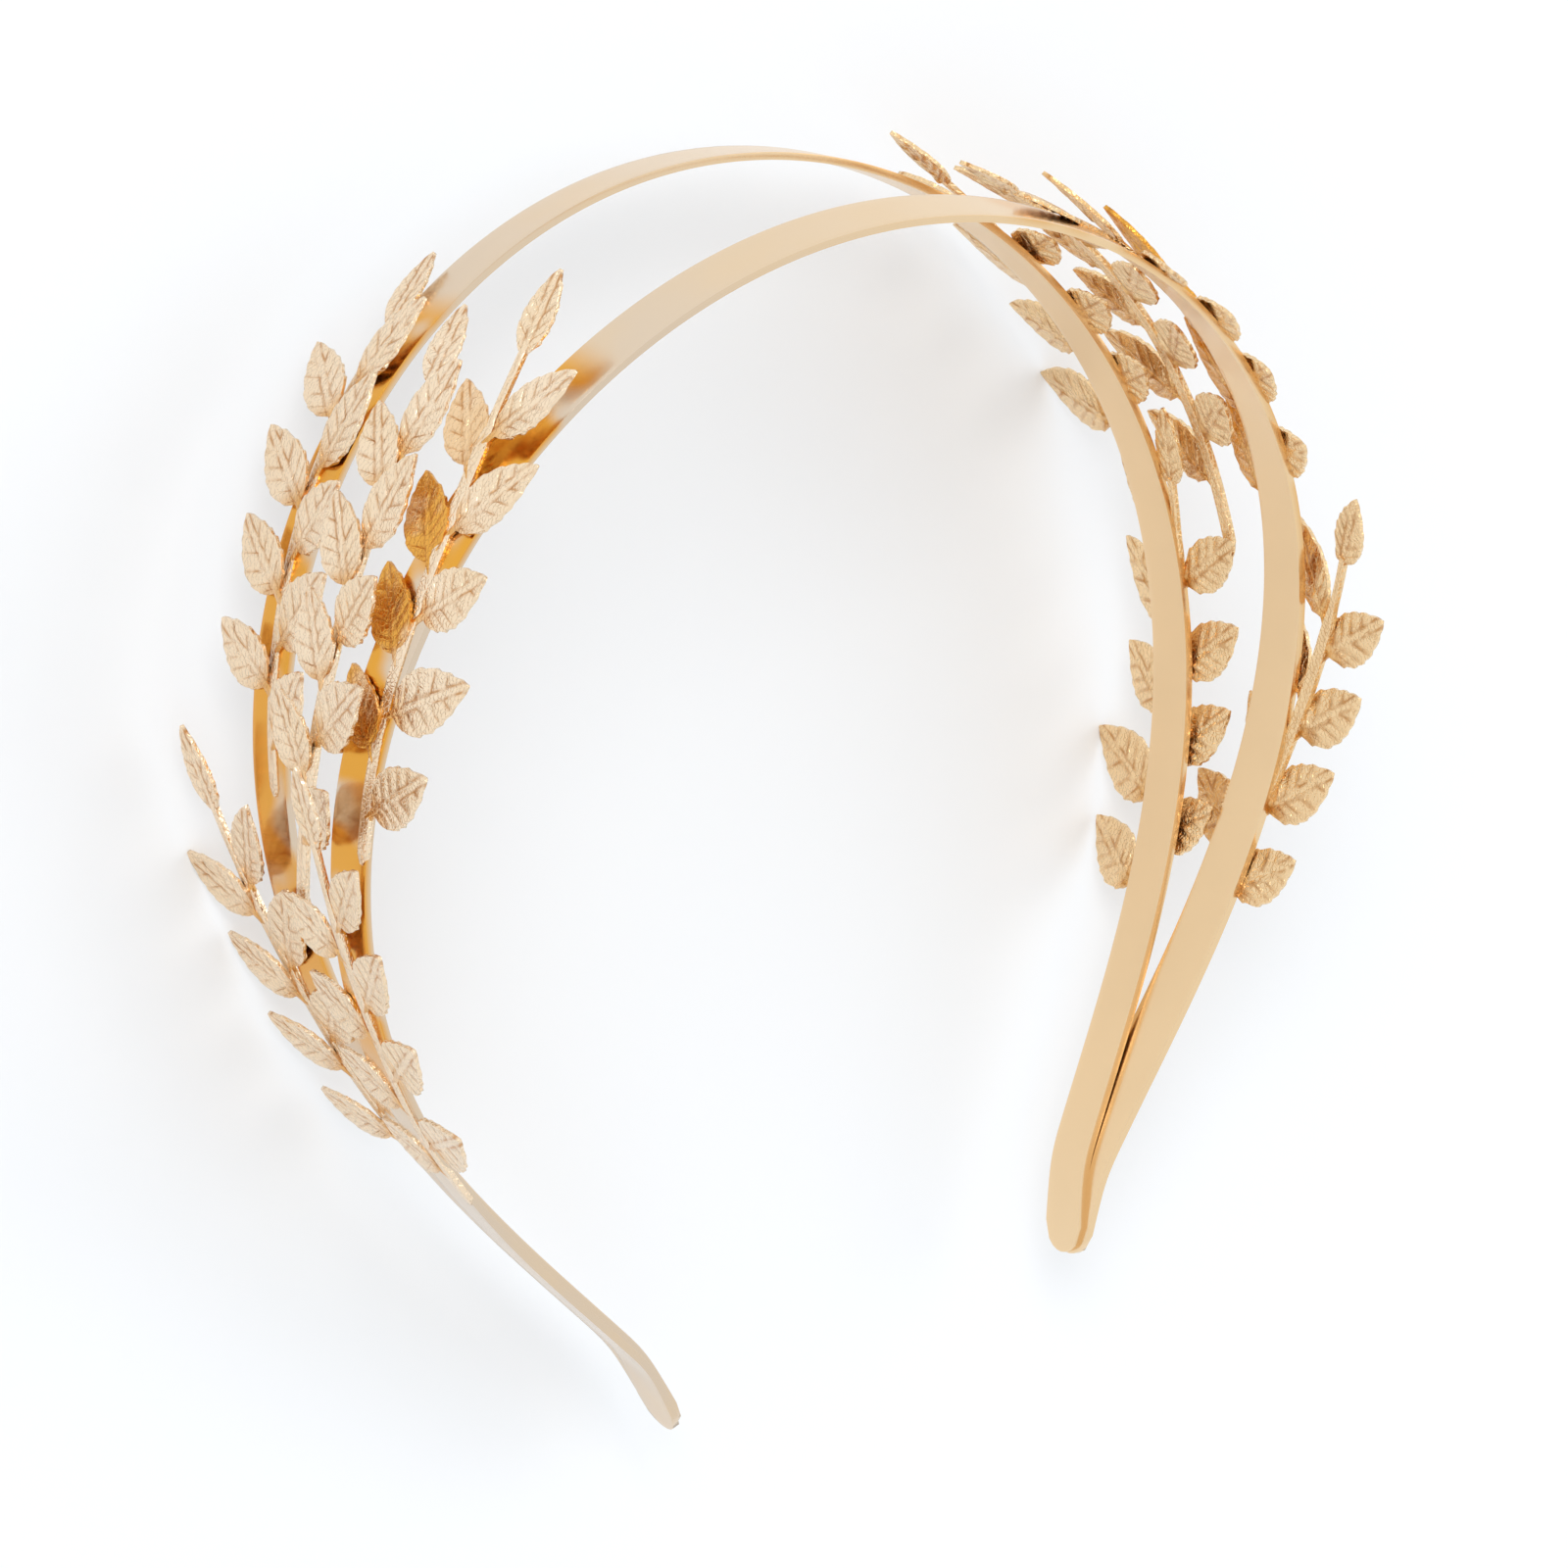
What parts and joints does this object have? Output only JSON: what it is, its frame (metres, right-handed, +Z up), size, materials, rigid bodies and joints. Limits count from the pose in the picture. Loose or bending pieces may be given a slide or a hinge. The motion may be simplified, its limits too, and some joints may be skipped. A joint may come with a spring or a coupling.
{
  "type": "laurel wreath crown",
  "caption": "Open arched metal headband whose flat strips part over the head, with stamped laurel sprigs along the outside of both sides, lying on its side.",
  "frame": {"origin": "middle of the crown's bounding box, on the surface that the crown lies on", "axes": "+Z up from the surface, towards the front strip; +Y from the open ends towards the top of the arch; +X towards the right arm as seen from above"},
  "size_m": [0.1227, 0.1278, 0.0509],
  "materials": {
    "band_metal": "brass strip with a smooth pale rose-gold plating",
    "leaf_metal": "stamped brass sheet, embossed veins, same pale rose-gold plating"
  },
  "bodies": {
    "root": {"double_band": "band_metal", "left_rear_upper_sprig": "leaf_metal", "left_middle_upper_sprig": "leaf_metal", "left_front_upper_sprig": "leaf_metal", "left_rear_lower_sprig": "leaf_metal", "left_front_lower_sprig": "leaf_metal", "right_rear_upper_sprig": "leaf_metal", "right_middle_upper_sprig": "leaf_metal", "right_front_upper_sprig": "leaf_metal", "right_rear_lower_sprig": "leaf_metal", "right_front_lower_sprig": "leaf_metal"}
  },
  "joints": []
}
